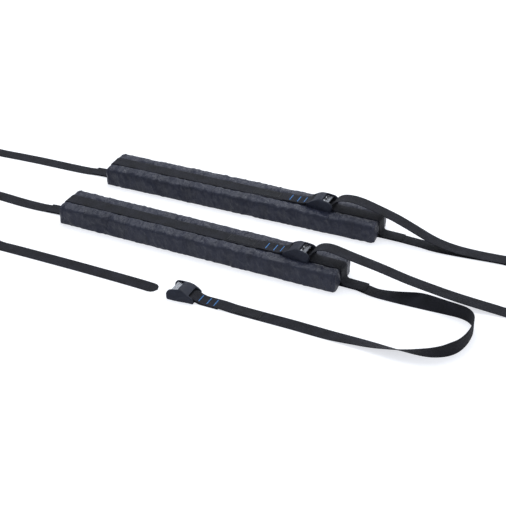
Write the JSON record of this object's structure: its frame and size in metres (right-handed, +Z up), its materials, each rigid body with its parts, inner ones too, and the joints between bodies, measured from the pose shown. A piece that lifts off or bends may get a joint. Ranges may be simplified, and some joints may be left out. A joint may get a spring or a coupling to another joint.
{
  "type": "soft roof rack",
  "caption": "Pair of padded soft bars for a bare car roof: foam in a nylon cover, with webbing straps round car and load that tighten in cam buckles with rubber bumpers.",
  "frame": {"origin": "on the floor under the middle of the front pad", "axes": "+X along the front pad towards its buckle, +Y from the front pad to the rear pad, +Z up"},
  "size_m": [1.3293, 0.4652, 0.0597],
  "materials": {
    "nylon": "matte woven nylon, charcoal with a slate tint",
    "foam": "matte closed-cell foam",
    "webbing": "matte woven polypropylene webbing",
    "rubber": "matte moulded rubber, dark slate",
    "metal": "satin plated steel",
    "label": "smooth woven label, bare"
  },
  "bodies": {
    "root": {"front_car_buckle_bumper": "rubber", "front_car_buckle_frame": "metal", "front_car_buckle_pin": "metal", "front_car_buckle_spring": "metal", "front_car_label": "label", "front_car_strap_end": "webbing", "front_car_strap_fold": "webbing", "front_car_strap_inside": "webbing", "front_car_strap_left": "webbing", "front_car_strap_left_coil": "webbing", "front_car_strap_left_tie": "webbing", "front_car_strap_right": "webbing", "front_foam_core": "foam", "front_pad_cover": "nylon", "front_top_buckle_bumper": "rubber", "front_top_buckle_frame": "metal", "front_top_buckle_pin": "metal", "front_top_buckle_spring": "metal", "front_top_label": "label", "front_top_strap_left": "webbing", "front_top_strap_right": "webbing", "front_top_tail": "webbing", "front_top_tail_coil": "webbing", "front_top_tail_tie": "webbing", "rear_car_buckle_bumper": "rubber", "rear_car_buckle_frame": "metal", "rear_car_buckle_pin": "metal", "rear_car_buckle_spring": "metal", "rear_car_strap_core": "webbing", "rear_car_strap_fold": "webbing", "rear_car_strap_inside": "webbing", "rear_car_strap_left": "webbing", "rear_car_strap_left_coil": "webbing", "rear_car_strap_left_tie": "webbing", "rear_car_strap_right": "webbing", "rear_car_strap_right_coil": "webbing", "rear_car_strap_right_tie": "webbing", "rear_foam_core": "foam", "rear_pad_cover": "nylon", "rear_top_buckle_bumper": "rubber", "rear_top_buckle_frame": "metal", "rear_top_buckle_pin": "metal", "rear_top_buckle_spring": "metal", "rear_top_label": "label", "rear_top_strap_left": "webbing", "rear_top_strap_right": "webbing", "rear_top_tail": "webbing", "rear_top_tail_coil": "webbing", "rear_top_tail_tie": "webbing"},
    "front_top_cam": {"front_top_buckle_cam": "metal"},
    "rear_top_cam": {"rear_top_buckle_cam": "metal"},
    "front_car_cam": {"front_car_buckle_cam": "metal"},
    "rear_car_cam": {"rear_car_buckle_cam": "metal"}
  },
  "joints": [
    {"name": "front_top_thumb_lever", "type": "hinge", "parent": "root", "child": "front_top_cam", "pos_m": [0.183, 0, 0.044], "axis": [0, 1, 0], "range_deg": [0, 15], "stiffness_Nm_per_rad": 0.06, "springref_deg": -20.05},
    {"name": "rear_top_thumb_lever", "type": "hinge", "parent": "root", "child": "rear_top_cam", "pos_m": [0.15424, 0.16312, 0.044], "axis": [-0.027, 0.9996, 0], "range_deg": [0, 15], "stiffness_Nm_per_rad": 0.06, "springref_deg": -20.05},
    {"name": "front_car_thumb_lever", "type": "hinge", "parent": "root", "child": "front_car_cam", "pos_m": [0.04, -0.141, 0.0117], "axis": [0, -1, 0], "range_deg": [0, 15], "stiffness_Nm_per_rad": 0.06, "springref_deg": -20.05},
    {"name": "rear_car_thumb_lever", "type": "hinge", "parent": "root", "child": "rear_car_cam", "pos_m": [0.6303, 0.0976, 0.02], "axis": [0, 0, 1], "range_deg": [0, 15], "stiffness_Nm_per_rad": 0.06, "springref_deg": -20.05}
  ]
}
